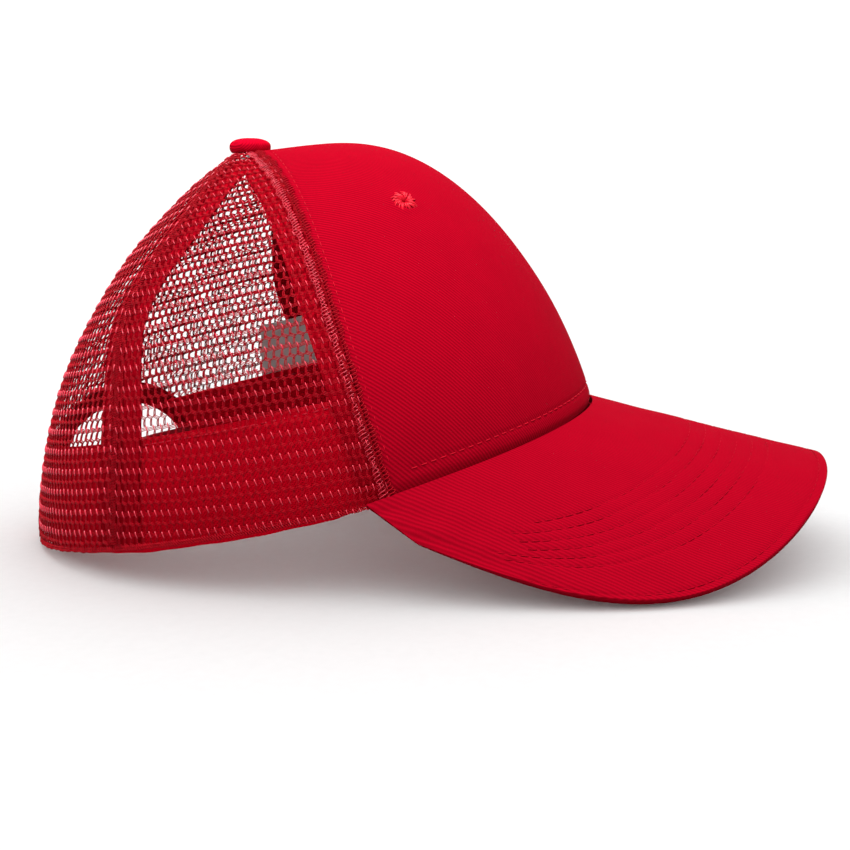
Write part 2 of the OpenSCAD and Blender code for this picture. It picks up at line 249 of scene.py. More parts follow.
# --- mesh building
def placed(name, data):
    """A new object that holds this data, linked into the scene."""
    made = bpy.data.objects.new(name, data)
    bpy.context.scene.collection.objects.link(made)
    return made


def add_piece(name, points, quads, material, replaces=(), slot=None, body="root", weave=None,
              sharp=None, second=None):
    """A mesh piece from points in millimetres, riding on a CAD body and standing for CAD nodes.

    weave is a coordinate pair for each point, sharp marks points whose shared edges are sharp, and
    second is another material with a mask of the quads that take it.
    """
    points = np.asarray(points, float).reshape(-1, 3) * MM
    quads = np.asarray(quads, int).reshape(-1, 4)
    a, b, c, d = (points[quads[:, i]] for i in range(4))
    volume = (a * np.cross(b, c)).sum() + (a * np.cross(c, d)).sum()
    if volume < 0:
        quads = quads[:, ::-1]
    mesh = bpy.data.meshes.new(name)
    mesh.vertices.add(len(points))
    mesh.vertices.foreach_set("co", points.ravel())
    mesh.loops.add(quads.size)
    mesh.loops.foreach_set("vertex_index", quads.ravel())
    mesh.polygons.add(len(quads))
    mesh.polygons.foreach_set("loop_start", np.arange(len(quads)) * 4)
    mesh.polygons.foreach_set("use_smooth", np.ones(len(quads), bool))
    mesh.update(calc_edges=True)
    if weave is not None:
        corners = np.asarray(weave, float).reshape(-1, 2)[quads.ravel()]
        mesh.uv_layers.new(name="weave").data.foreach_set("uv", corners.ravel())
    if sharp is not None:
        ends = np.zeros(len(mesh.edges) * 2, int)
        mesh.edges.foreach_get("vertices", ends)
        one, other = ends.reshape(-1, 2).T
        same_face = np.abs(one - other) < len(points) // 2
        mark = mesh.attributes.new("sharp_edge", "BOOLEAN", "EDGE")
        mark.data.foreach_set("value", sharp[one] & sharp[other] & same_face)
    mesh.materials.append(material)
    if second is not None:
        mesh.materials.append(second[0])
        mesh.polygons.foreach_set("material_index", second[1].astype(int))
    piece = placed(name, mesh)
    if body:
        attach(piece, body)
    if replaces:
        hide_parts(*replaces)
    return piece


def sheet_quads(rows, cols):
    """Quads of a closed sheet: two grids of points, and the rim between them."""
    at = np.arange(rows * cols).reshape(rows, cols)
    n = rows * cols
    a, b, c, d = at[:-1, :-1], at[:-1, 1:], at[1:, 1:], at[1:, :-1]
    front = np.stack([a, b, c, d], -1).reshape(-1, 4)
    back = np.stack([a, d, c, b], -1).reshape(-1, 4) + n
    rim = np.concatenate([at[0, :-1], at[:-1, -1], at[-1, :0:-1], at[:0:-1, 0]])
    after = np.roll(rim, -1)
    edge = np.stack([rim, rim + n, after + n, after], -1)
    return np.concatenate([front, back, edge]), rim


def flat_size(points):
    """(width, length, area) in metres of the cut that a grid of points was made from."""
    width, length = (np.linalg.norm(np.diff(points, axis=i), axis=2).sum(i).max() * MM for i in (1, 0))
    first, second = points[1:, 1:] - points[:-1, :-1], points[1:, :-1] - points[:-1, 1:]
    return width, length, float(np.linalg.norm(np.cross(first, second), axis=-1).sum() / 2) * MM * MM


def add_sheet(name, outer, inner, material, weave, held, rests_on, **more):
    """A closed sheet of cloth between two grids of points."""
    rows, cols = outer.shape[:2]
    quads, rim = sheet_quads(rows, cols)
    sharp = np.zeros(2 * rows * cols, bool)
    sharp[rim] = sharp[rim + rows * cols] = True
    piece = add_piece(name, [outer, inner], quads, material, weave=[weave, weave], sharp=sharp, **more)


def tube_parts(lines, ups, radius, sides=4, flat=1.0):
    """Points and quads of closed tubes along lines, an array of (line, point, xyz)."""
    lines = np.asarray(lines, float)
    along = unit(np.gradient(lines, axis=1))
    across = unit(np.cross(along, ups))
    up = np.cross(across, along)
    radius = np.broadcast_to(np.asarray(radius, float), lines.shape[:2])[..., None, None]
    turn = (np.arange(sides) + 0.5) * 2 * np.pi / sides
    ring = np.cos(turn)[:, None] * across[:, :, None] + flat * np.sin(turn)[:, None] * up[:, :, None]
    points = lines[:, :, None] + radius * ring
    at = np.arange(points[..., 0].size).reshape(points.shape[:3])
    after = np.roll(at, -1, axis=2)
    quads = [np.stack([at[:, :-1], after[:, :-1], after[:, 1:], at[:, 1:]], -1).reshape(-1, 4)]
    for k in range(0, sides - 2, 2):
        quads.append(at[:, 0][:, [0, k + 3, k + 2, k + 1]])
        quads.append(at[:, -1][:, [0, k + 1, k + 2, k + 3]])
    return points.reshape(-1, 3), np.concatenate(quads)


def joined(parts):
    """One set of points and quads from several."""
    points, quads = zip(*parts)
    starts = np.cumsum([0] + [len(p) for p in points])
    return np.concatenate(points), np.concatenate([q + start for q, start in zip(quads, starts)])


STITCH_SHAPE, STITCH_LIFT, STITCH_GIRTH = np.array([
    [-1.0, -0.62, 0.0, 0.62, 1.0], [-0.32, 0.02, 0.12, 0.02, -0.32], [0.55, 0.95, 1.0, 0.95, 0.55]])
FINE_STEPS = 600


def stitch_parts(centres, along, ups, length, girth, lift=1.0):
    """Stitches: short threads that dip into the cloth at both ends."""
    lines = (centres[:, None] + unit(along)[:, None] * STITCH_SHAPE[:, None] * length / 2
             + ups[:, None] * STITCH_LIFT[:, None] * lift)
    return tube_parts(lines, ups[:, None], girth * STITCH_GIRTH, sides=6, flat=0.8)


def along_line(line, start, end, pitch):
    """Evenly spaced values from start to end of line, a function that gives points."""
    fine = np.linspace(start, end, FINE_STEPS)
    run = run_along(line(fine))
    count = max(2, int(run[-1] / pitch))
    return np.interp((np.arange(count) + 0.5) / count * run[-1], run, fine)


def crown_stitches(place, start, end, pitch, length, girth, d):
    """A row of stitches on the crown along place(s), which gives an angle and a t."""
    s = along_line(lambda v: crown(*place(v)), start, end, pitch)
    step = (end - start) / FINE_STEPS
    a, t = place(s)
    along = crown(*place(s + step)) - crown(*place(s - step))
    return stitch_parts(layer(a, t, d), along, crown_normal(a, t), length, girth)


def add_stitches(name, rows, thread, replaces=()):
    """Rows of stitches as one piece."""
    add_piece(name, *joined(rows), thread, slot="thread", replaces=replaces)


# --- materials
def new_material(name, colour, roughness, specular):
    """A Principled material, with its node tree and shader."""
    made = bpy.data.materials.new(name)
    made.use_nodes = True
    made.diffuse_color = (*colour, 1)
    shader = made.node_tree.nodes["Principled BSDF"]
    shader.inputs["Base Color"].default_value = (*colour, 1)
    shader.inputs["Roughness"].default_value = roughness
    shader.inputs["Specular IOR Level"].default_value = specular
    return made, made.node_tree, shader


def node(tree, kind, **values):
    """A node with its settings and its inputs: an output given for an input is linked to it."""
    made = tree.nodes.new(kind)
    for key, value in values.items():
        socket = made.inputs.get(key.replace("_", " "))
        if hasattr(made, key):
            setattr(made, key, value)
        elif isinstance(value, bpy.types.NodeSocket):
            tree.links.new(value, socket)
        else:
            socket.default_value = value
    return made


def place_of(tree, woven, scale=(1, 1, 1), turn=0.0):
    """Texture coordinates in millimetres, along the cloth by its weave map or else in space."""
    if woven:
        source = node(tree, "ShaderNodeUVMap", uv_map="weave").outputs["UV"]
    else:
        source = node(tree, "ShaderNodeTexCoord").outputs["Object"]
        scale = tuple(1000 * s for s in scale)
    made = node(tree, "ShaderNodeMapping", Scale=scale, Rotation=(0, 0, turn), Vector=source)
    return made.outputs["Vector"]


def wave(tree, where, period, distortion=0.0, direction="X"):
    """Soft parallel lines with a period in millimetres."""
    return node(tree, "ShaderNodeTexWave", wave_type="BANDS", bands_direction=direction, Vector=where,
                Scale=0.314 / period, Distortion=distortion, Detail=1.0).outputs["Fac"]


def noise(tree, where, size, detail=2.0, dimensions="3D"):
    return node(tree, "ShaderNodeTexNoise", noise_dimensions=dimensions, Vector=where, Scale=1 / size,
                Detail=detail).outputs["Fac"]


def sums(tree, *terms):
    """The sum of outputs, each with its own weight."""
    total = None
    for source, weight in terms:
        part = node(tree, "ShaderNodeMath", operation="MULTIPLY")
        tree.links.new(source, part.inputs[0])
        part.inputs[1].default_value = weight
        if total is None:
            total = part.outputs[0]
            continue
        add = node(tree, "ShaderNodeMath", operation="ADD")
        tree.links.new(total, add.inputs[0])
        tree.links.new(part.outputs[0], add.inputs[1])
        total = add.outputs[0]
    return total


def graded(tree, shader, value, stops):
    """A base colour that follows a value, through a ramp."""
    ramp = node(tree, "ShaderNodeValToRGB", Fac=value)
    elements = ramp.color_ramp.elements
    while len(elements) < len(stops):
        elements.new(0.5)
    for element, (at, colour) in zip(elements, stops):
        element.position = at
        element.color = (*colour, 1)
    tree.links.new(ramp.outputs["Color"], shader.inputs["Base Color"])


def bumped(tree, shader, height, depth, strength=1.0):
    """A bump whose height runs over depth millimetres."""
    made = node(tree, "ShaderNodeBump", Distance=depth * MM, Strength=strength, Height=height)
    tree.links.new(made.outputs["Normal"], shader.inputs["Normal"])


def shade(colour, by):
    return tuple(min(1.0, c * by) for c in colour)


def woven(name, colour, ply=0.0, twill=0.95, turn=-0.56, specks=True, relief=0.12, contrast=0.24,
          roughness=0.95, specular=0.01):
    """Cloth with slanted twill lines, fuzz and soft mottling.

    twill is the lines' spacing and turn their slant; ply adds crossing yarns at that spacing, and
    specks adds lint.
    """
    made, tree, shader = new_material(name, colour, roughness, specular)
    where = place_of(tree, True)
    slanted = place_of(tree, True, turn=turn)
    lines = wave(tree, slanted, twill, 0.6)
    fuzz = noise(tree, where, 0.5, 3.0, "2D")
    cloud = noise(tree, where, 9.0, 3.0, "2D")
    relief_of = [(lines, 0.6), (fuzz, 0.35)]
    if ply:
        relief_of += [(wave(tree, where, ply, 0.4, way), 0.3) for way in "XY"]
    tone = sums(tree, (sums(tree, *relief_of), 0.86), (cloud, 0.14))
    stops = [(0.25, shade(colour, 1 - contrast)), (0.75, shade(colour, 1 + contrast))]
    if specks:
        lint = noise(tree, place_of(tree, True, scale=(0.55, 1.9, 1), turn=0.5), 1.0, 1.0, "2D")
        tone = sums(tree, (tone, 0.93), (lint, 0.07))
    graded(tree, shader, tone, stops)
    bumped(tree, shader, sums(tree, *relief_of), relief)
    return made


def threads(name, colour, roughness=0.38, specular=0.35, twist=0.35):
    """Twisted thread: fine slanted strands and a little change of tone."""
    made, tree, shader = new_material(name, colour, roughness, specular)
    where = place_of(tree, False)
    strands = wave(tree, place_of(tree, False, turn=0.7), twist, 0.5)
    both = sums(tree, (strands, 0.35), (noise(tree, where, 2.5), 0.65))
    graded(tree, shader, both, [(0.3, shade(colour, 0.78)), (0.75, shade(colour, 1.2))])
    bumped(tree, shader, strands, 0.03, 0.6)
    return made


def moulded(name, colour, roughness=0.38, specular=0.4):
    """Moulded plastic with a fine satin texture."""
    made, tree, shader = new_material(name, colour, roughness, specular)
    where = place_of(tree, False)
    grain = noise(tree, where, 0.25, 3.0)
    cloud = noise(tree, where, 6.0)
    graded(tree, shader, cloud, [(0.3, shade(colour, 0.92)), (0.7, shade(colour, 1.06))])
    rough = node(tree, "ShaderNodeMapRange", Value=grain, To_Min=roughness - 0.06,
                 To_Max=roughness + 0.12)
    tree.links.new(rough.outputs["Result"], shader.inputs["Roughness"])
    bumped(tree, shader, grain, 0.02, 0.5)
    return made


def steel(name):
    made, tree, shader = new_material(name, (0.6, 0.6, 0.62), 0.35, 0.5)
    shader.inputs["Metallic"].default_value = 1.0
    grain = noise(tree, place_of(tree, False, scale=(1, 1, 6)), 0.4, 3.0)
    graded(tree, shader, grain, [(0.3, (0.5, 0.5, 0.52)), (0.7, (0.68, 0.68, 0.7))])
    bumped(tree, shader, grain, 0.01, 0.4)
    return made


COTTON_RED = (0.222, 0.0003, 0.0065)
BRIM_RED = (0.196, 0.0003, 0.006)
TRIM_RED = (0.24, 0.0003, 0.005)
BAND_RED = (0.36, 0.0003, 0.007)
MESH_RED = (0.27, 0.0006, 0.006)
# GLINT_RED is a painted highlight: a lighter, pinker red that stands for glints of light on glossy yarn
GLINT_RED = (0.50, 0.018, 0.040)
THREAD_RED = (0.46, 0.004, 0.020)
PALE = (0.78, 0.76, 0.72)

cotton = woven("front_twill", COTTON_RED)
brim_cloth = woven("brim_twill", BRIM_RED, turn=0.06, twill=0.7, contrast=0.17)
# painted shade: the under cover is the brim's own red made darker, for the underside that faces away from
# the light
under_cloth = woven("brim_under_twill", shade(BRIM_RED, 0.85), turn=0.06, twill=0.7)
# painted light: the button is the cotton's own red made 1.65 times lighter, for the light that falls on
# its top
button_cloth = woven("button_twill", shade(COTTON_RED, 1.65), turn=0.6, twill=0.7)
tape_cloth = woven("seam_tape_weave", TRIM_RED, ply=0.5, twill=0.9, turn=0.0, specks=False, contrast=0.22)
band_cloth = woven("sweatband_weave", BAND_RED, ply=0.5, twill=0.8, turn=0.9, specks=False)
net_cloth = woven("buckram_net", PALE, ply=1.1, twill=1.1, turn=0.0, specks=False, contrast=0.18,
                  relief=0.2)
# painted shade: the white care label is given a mid grey, for the shade it hangs in inside the crown
label_cloth = woven("label_satin", (0.5, 0.49, 0.48), ply=0.3, twill=0.5, turn=0.0, specks=False,
                    contrast=0.06, roughness=0.5, specular=0.2, relief=0.03)
mesh_yarn = threads("mesh_yarn", MESH_RED, roughness=0.55, specular=0.05)
glint_yarn = threads("mesh_glint_yarn", GLINT_RED, roughness=0.3, specular=0.3)
sewing_thread = threads("sewing_thread", THREAD_RED, specular=0.2)
crown_thread = threads("crown_thread", (0.34, 0.001, 0.010), roughness=0.55, specular=0.05)
# painted light: the brim's own red made lighter, to take away the shade that falls along the rows of
# stitches
brim_thread = threads("brim_thread", shade(BRIM_RED, 1.2), roughness=0.7, specular=0.02)
eyelet_thread = threads("eyelet_thread", (0.46, 0.002, 0.014), roughness=0.4, specular=0.12)
strap_plastic = moulded("strap_plastic", (0.27, 0.0005, 0.008), specular=0.25)
board_plastic = moulded("brim_board_plastic", PALE, roughness=0.5)
bare_steel = steel("button_steel")


# --- front panels
TURN_UNDER, TURN_DEPTH = 1.1, 0.75
TOPSTITCH_IN, TOPSTITCH_UP = 2.6, 5.5
EYELET_A, EYELET_T, EYELET_R = 42, 55.1, 3.9
COTTON_T, BUCKRAM_D, BUCKRAM_T = 0.8, 1.05, 0.45


def seam_dip(distance):
    """How far cloth turns down towards a seam."""
    return TURN_DEPTH * np.exp(-((distance / TURN_UNDER) ** 2))


def groove(distance, depth, width):
    """How far a row of stitches pulls cloth down."""
    return depth * np.exp(-((distance / width) ** 2))


def panel_grid(side, from_seam, to_seam, base_h, top_r, rows, cols, gap=0.2):
    """Angles, t values and the distances to both seams for a grid over a panel."""
    s = np.linspace(0, 1, cols)
    guess = side * lerp(from_seam(45.0), to_seam(45.0), s)
    low = t_at_height(guess, base_h(guess))
    t = lerp(low, t_at_radius(guess, top_r), np.linspace(0, 1, rows)[:, None])
    half = spread(guess, t, gap)
    a0, a1 = from_seam(t) + half, to_seam(t) - half
    a = side * lerp(a0, a1, s)
    ring = np.radians(radius_at(a, t))
    return a, t, np.abs(side * a - a0) * ring, np.abs(a1 - side * a) * ring


def cloth_uv(a, t):
    """Weave coordinates in millimetres: round the crown, and up from the hem."""
    middle = a[:, a.shape[1] // 2][:, None]
    return weave_map(np.radians(a - middle) * radius_at(a, t), run_along(crown(a, t)))


for side, word in SIDES:
    a, t, from_centre, from_side = panel_grid(side, centre_seam, front_seam, brim_line, FLAT_TOP_R + 1,
                                              150, 110)
    above = height_at(a, t) - brim_line(a)
    eye = np.linalg.norm(crown(a, t) - crown(side * EYELET_A, EYELET_T), axis=-1)
    depth = (0.4 * seam_dip(from_centre) + seam_dip(from_side) + seam_dip(above)
             + groove(from_centre - TOPSTITCH_IN, 0.10, 0.55)
             + groove(from_side - TOPSTITCH_IN, 0.22, 0.55)
             + groove(above - TOPSTITCH_UP, 0.25, 0.6) * (np.abs(a) < 64)
             + groove(eye, 1.5, 1.3) - groove(eye - EYELET_R, 0.25, 1.2)
             + ripple(a, t, 0.14))
    outer = layer(a, t, depth)
    add_sheet(f"front_cotton_{word}", outer, layer(a, t, np.maximum(depth, 0) + COTTON_T), cotton,
              cloth_uv(a, t), "stretched", [f"front_buckram_{word}"], replaces=[f"front_panel_{word}"],
              slot="front_cotton")
    a, t, *_ = panel_grid(side, centre_seam, lambda t: front_seam(t) - 1.2, lambda v: brim_line(v) + 2,
                          6, 60, 40)
    add_sheet(f"front_buckram_{word}", layer(a, t, BUCKRAM_D), layer(a, t, BUCKRAM_D + BUCKRAM_T),
              net_cloth, cloth_uv(a, t), "stretched", [f"front_cotton_{word}"],
              replaces=[f"buckram_{word}"], slot="buckram_net")


# --- knitted mesh
CELL_W, ROW_H = 2.5, 3.15
YARN_R, YARN_JITTER = 0.13, 0.09
LOOP_LEAN = -0.8
STROKE_POINTS = 4
U_COLS, V_ROWS = 48, 150
ROPE_STEPS = 7  # points in one wind of a rope
# pitch, flatness and (distance from the seam, radius, depth) of the ropes beside a seam
FRONT_ROPES = 2.3, 0.25, ((-0.2, 1.15, -0.05), (1.9, 1.1, 0.2))
REAR_ROPES = 1.6, 0.4, ((0.35, 0.6, 0.2), (1.5, 0.4, 0.3))


class Knit:
    """A flat knitted cloth laid over one panel: u runs round the crown and v up from the hem."""

    def __init__(self, side, low_a, high_a, tilt):
        self.low, self.high, self.tilt = low_a, high_a, tilt
        self.centre = (low_a + high_a) / 2
        ts = np.linspace(0, 88, 220)
        run = run_along(crown(side * np.linspace(low_a, high_a, U_COLS), ts[:, None])).T
        self.top = run.max()
        self.v = np.linspace(0, self.top, V_ROWS)
        self.table = np.array([np.interp(self.v, row, ts) for row in run])
        ends = [crown(side * (self.centre + s), self.table[U_COLS // 2]) for s in (-0.5, 0.5)]
        self.ring = np.linalg.norm(ends[1] - ends[0], axis=1)

    def place(self, u, v):
        """The angle and t of points of the flat cloth."""
        v = np.clip(v + self.tilt * u, 0, self.top)
        a = np.clip(self.centre + u / np.interp(v, self.v, self.ring), self.low, self.high)
        across = (a - self.low) / (self.high - self.low) * (U_COLS - 1)
        up = v / self.top * (V_ROWS - 1)
        i, j = np.minimum(across.astype(int), U_COLS - 2), np.minimum(up.astype(int), V_ROWS - 2)
        below, above = (lerp(self.table[i, k], self.table[i + 1, k], across - i) for k in (j, j + 1))
        return a, lerp(below, above, up - j)


def outside_arch(a, t):
    """Moves places in the rear opening out to its bound edge, and says which they are."""
    wide, tall = ARCH_HALF_W - BINDING_W + 2.5, ARCH_H - BINDING_W + 2.5
    across = np.radians(180 - a) * HALF_WIDTH
    high = height_at(a, t)
    inside = np.hypot(across / wide, high / tall)
    out = 1 / np.clip(inside, 0.05, 1)
    moved = 180 - arch_angle(across * out)
    return moved, np.where(inside < 1, t_at_height(moved, high * out), t), inside < 1


def knit_strokes(u_reach, rows):
    """The yarns of the knit as (u, v, depth, girth) lines, kind by kind."""
    count = int(u_reach / CELL_W) + 2
    i, k = np.meshgrid(np.arange(-count, count + 1), np.arange(rows))
    i, k = i.ravel(), k.ravel()
    jitter = rng.normal(0, YARN_JITTER, (len(i), 2))
    x = i * CELL_W + (k % 2) * CELL_W / 2 + jitter[:, 0]
    v = (k + 0.35) * ROW_H + jitter[:, 1]
    every, even, odd = slice(None), k % 2 == 0, k % 2 == 1
    steps = np.linspace(0, 1, STROKE_POINTS)

    def line(cells, du, dv, depth, girth, bow=0.0):
        lu = x[cells][:, None] + lerp(*du, steps) + bow * np.sin(np.pi * steps)
        lv = v[cells][:, None] + lerp(*dv, steps)
        return lu, lv, depth - 0.14 * np.sin(np.pi * steps) + 0 * lu, girth

    # pairs of yarns that part the holes of one row
    found = [line(every, (-0.16, -0.10), (-1.1, 1.1), 0.55, YARN_R * 1.15, -0.10),
             line(every, (0.16, 0.10), (-1.1, 1.1), 0.50, YARN_R * 1.15, 0.10)]
    # a band of slanted yarns above each even row, and of level ones above each odd row
    middle = ROW_H / 2
    for j in range(3):
        at = middle + (j - 1) * 0.42
        found.append(line(even, (-0.5, 1.55), (at - 0.45, at + 0.55), 0.25 if j == 1 else 0.35, YARN_R))
        found.append(line(odd, (-0.35, 2.3), (at + 0.2, at - 0.25), 0.42, YARN_R * 0.95))
    found.append(line(even, (0.1, -1.3), (middle - 0.62, middle + 0.62), 0.62, YARN_R))
    # the raised loops of the odd rows, which knit_piece() gives the lighter red of painted glints
    found.append(line(odd, (LOOP_LEAN * 0.55, -LOOP_LEAN * 0.55), (middle - 1.0, middle + 1.0), 0.14,
                      YARN_R * 1.2))
    return found


def rope_parts(place, start, end, pitch, radius, girth, d, flat=1.0):
    """Two yarns that wind round a line of places on the crown, as a knitted edge or a seam has them."""
    s = along_line(lambda v: crown(*place(v)), start, end, pitch / ROPE_STEPS)
    a, t = place(s)
    n = crown_normal(a, t)
    centre = layer(a, t, d)
    across = np.cross(n, unit(np.gradient(centre, axis=0)))
    winds = np.arange(len(s)) * 2 * np.pi / ROPE_STEPS
    wobble = 1 + 0.28 * np.sin(winds * 0.37) + 0.22 * np.sin(winds * 0.13 + 1)
    yarns = [centre + radius * wobble[:, None] * (np.cos(turn)[:, None] * across
                                                  + flat * np.sin(turn)[:, None] * n)
             for turn in (winds, winds + np.pi)]
    return tube_parts(yarns, n, girth)


def edge_ropes(side, seams, arch):
    """The rolled hem and looped seam edges of one mesh panel, each with whether its yarn takes the
    painted glint colour.
    """
    first, last = (seam(0.0) for seam in seams)
    if arch:
        last -= arch_angle(ARCH_HALF_W)
    ropes = [(rope_parts(lambda v, lift=lift: (side * v, t_at_height(v, lift)), first, last, 1.7, radius,
                         0.2, 0.45), False)
             for lift, radius in ((0.35, 0.42), (1.05, 0.3))]
    for seam, inward in zip(seams, (1, -1)):
        if seam is back_centre and side < 0:
            continue
        foot = t_at_height(180.0, ARCH_H) if seam is back_centre else 0.5
        top = t_at_radius(seam(45.0), 7.5)
        front = seam is front_seam
        pitch, flat, found = FRONT_ROPES if front else REAR_ROPES
        for shift, radius, d in found:
            # beside the front seam, the rope further onto the mesh takes the painted glint colour
            ropes.append((rope_parts(beside_seam(side, seam, inward * shift), foot, top, pitch, radius,
                                     0.12, d, flat), front and shift > 0))
    return ropes


def knit_piece(name, side, seams, low_a, high_a, tilt, thick, node_name, arch=False):
    """One mesh panel, yarn by yarn, cut at its seams, hem and arch."""
    knit = Knit(side, low_a, high_a, tilt)
    half = max(knit.centre - low_a, high_a - knit.centre) * knit.ring.max()
    drop = abs(tilt) * half
    strokes = knit_strokes(half, int((knit.top + drop) / ROW_H) + 2)
    parts, painted_glints = [], []
    for kind, (u, v, d, girth) in enumerate(strokes, 1):
        v = v - drop
        a, t = knit.place(u, v)
        gap = spread(side * a, t, 0.25)
        low, high = seams[0](t) + gap, seams[1](t) - gap
        off = (a <= low) | (a >= high) | (v + tilt * u <= 0)
        a = np.clip(a, low, high)
        off |= radius_at(side * a, t) < FLAT_TOP_R + 1.5
        if arch:
            a, t, inside = outside_arch(a, t)
            off |= inside
        keep = off.sum(axis=1) < STROKE_POINTS - 1
        a, t = side * a[keep], t[keep]
        lines = layer(a, t, d[keep] + ripple(a, t, 0.5))
        keep = np.linalg.norm(lines[:, -1] - lines[:, 0], axis=1) > 0.5
        parts.append(tube_parts(lines[keep], crown_normal(a[keep], t[keep]), girth * thick))
        painted_glints.append(kind == len(strokes))
    for rope, is_painted_glint in edge_ropes(side, seams, arch):
        parts.append(rope)
        painted_glints.append(is_painted_glint)
    mask = np.concatenate([np.full(len(quads), b) for (_, quads), b in zip(parts, painted_glints)])
    piece = add_piece(name, *joined(parts), mesh_yarn, replaces=[node_name], slot="mesh_knit",
                      second=(glint_yarn, mask))
    t = np.linspace(0, 84, 60)[:, None]
    a = lerp(seams[0](t), seams[1](t), np.linspace(0, 1, 30))
    width, length, area = flat_size(crown(side * a, t))


for side, word in SIDES:
    knit_piece(f"side_knit_{word}", side, (front_seam, rear_seam), 66, BACK_SEAM + 7, 0.06, 1.0,
               f"side_mesh_{word}")
    knit_piece(f"back_knit_{word}", side, (rear_seam, back_centre), BACK_SEAM - 1, 181, 0.0, 1.35,
               f"back_mesh_{word}", arch=True)


# --- seam tapes
TAPE_W, BACK_TAPE_W, TAPE_D, TAPE_T = 15, 11, 1.7, 0.5
TAPE_SPREAD = 18.4  # the most that half a tape spreads round the crown, near the top
TAPE_STITCH_AT = 0.72  # of half the tape's width


def add_tape(name, side, seam, base_h, wide, rests_on):
    """A tape inside the crown, centred on a seam and stitched along both edges."""
    start = side * seam(45.0)

    def place(t, share):
        return side * seam(t) + share * np.minimum(spread(start, t, wide / 2), TAPE_SPREAD), t

    t = np.linspace(t_at_height(start, base_h), t_at_radius(start, 9), 90)[:, None]
    across = np.linspace(-1, 1, 13)
    a, t = np.broadcast_arrays(*place(t, across))
    d = (TAPE_D + 0.12 * np.abs(across) ** 6 - 0.10 * np.exp(-((across / 0.12) ** 2))
         + ripple(a, t, 0.12))
    outer = layer(a, t, d)
    run = run_along(outer[:, across.size // 2])
    add_sheet(name + "_cloth", outer, layer(a, t, d + TAPE_T), tape_cloth,
              weave_map(across * wide / 2, run[:, None]), "laid", rests_on, replaces=[name],
              slot="seam_tape")
    rows = [crown_stitches(lambda s, share=share: place(s, share), t[0, 0] + 1, t[-1, 0] - 1, 3.0,
                           2.3, 0.17, TAPE_D + TAPE_T + 0.08)
            for share in (-TAPE_STITCH_AT, TAPE_STITCH_AT)]
    add_stitches(name + "_stitches", rows, sewing_thread)


add_tape("front_centre_tape", LEFT, centre_seam, BRIM_RISE + 1, TAPE_W,
         ["front_buckram_left", "front_buckram_right"])
add_tape("back_centre_tape", LEFT, back_centre, ARCH_H + 1, BACK_TAPE_W,
         ["back_knit_left", "back_knit_right"])
for side, word in SIDES:
    add_tape(f"front_side_tape_{word}", side, front_seam, BRIM_RISE, TAPE_W, [f"side_knit_{word}"])
    add_tape(f"side_back_tape_{word}", side, rear_seam, 0, BACK_TAPE_W,
             [f"side_knit_{word}", f"back_knit_{word}"])


# --- binding and sweatband
BINDING_OUT, BINDING_IN, BINDING_T, FOLD_R = -0.7, 1.7, 0.45, 0.9
BINDING_STITCH_IN = 1.6
BAND_OUT, BAND_IN, BAND_FOLD_R = 3.2, 4.4, 0.6
BAND_STITCH_LOW, BAND_STITCH_HIGH = 5, SWEATBAND_H - 2
LABEL_A, LABEL_H, LABEL_D, LABEL_T = (108, 128), (30, 54), 2.6, 0.25


def arch_place(s, out):
    """A place on the rear opening's edge: s runs over the arch from 0 to 180, and out is outwards."""
    wide, tall = ARCH_HALF_W - BINDING_W + out, ARCH_H - BINDING_W + out
    a = 180 - arch_angle(wide * cosd(s))
    return a, t_at_height(a, tall * sind(s))


def add_binding():
    """A tape folded round the edge of the mesh: up the outside, round the fold and down the inside."""
    s = np.linspace(0, 180, 150)[:, None]
    middle, half = (BINDING_OUT + BINDING_IN) / 2, (BINDING_IN - BINDING_OUT) / 2
    leg, turns = np.linspace(BINDING_W, FOLD_R, 12), np.radians(np.linspace(0, 180, 11)[1:-1])
    out = np.concatenate([leg, FOLD_R - FOLD_R * np.sin(turns), leg[::-1]])
    bend = np.concatenate([np.ones(12), np.cos(turns), -np.ones(12)])
    inset = np.concatenate([np.zeros(12), np.sin(turns), np.zeros(12)])

    def face(thick):
        near = out + thick * inset
        a, t = arch_place(s, near)
        crease = groove(np.abs(near) - BINDING_W + BINDING_STITCH_IN, 0.18, 0.6) * (np.abs(bend) > 0.99)
        wrinkle = 0.10 * np.sin(np.radians(s) * 37) * (near / BINDING_W)
        return layer(a, t, middle - (half - thick - crease) * bend + wrinkle)

    outer = face(0.0)
    weave = weave_map(run_along(outer[75]), run_along(outer[:, 0])[:, None])
    add_sheet("arch_binding_cloth", outer, face(BINDING_T), tape_cloth, weave, "stretched",
              ["back_knit_left", "back_knit_right"], replaces=["arch_binding"], slot="seam_tape")
    for name, d, replaced in (("arch_stitches", BINDING_OUT - 0.02, ["arch_stitching"]),
                              ("arch_stitches_inside", BINDING_IN + 0.02, ())):
        row = crown_stitches(lambda s: arch_place(s, BINDING_W - BINDING_STITCH_IN), 1.5, 178.5, 2.9, 2.3,
                             0.19, d)
        add_stitches(name, [row], sewing_thread, replaced)


def sweatband_end(h):
    """The angle at which the band ends at a height, under the middle of the arch's binding."""
    wide, tall = ARCH_HALF_W - BINDING_W / 2, ARCH_H - BINDING_W / 2
    return 180 - arch_angle(wide * np.sqrt(1 - (np.minimum(h, SWEATBAND_H) / tall) ** 2))


def sweatband_drop(a):
    """How far the sweatband's fold shows below the edge of the cap."""
    forward = smooth((132 - np.abs(a)) / 30)
    return lerp(0.3, 1.7, forward) + 0.12 * np.sin(np.radians(a) * 23) + 0.08 * np.sin(np.radians(a) * 57)


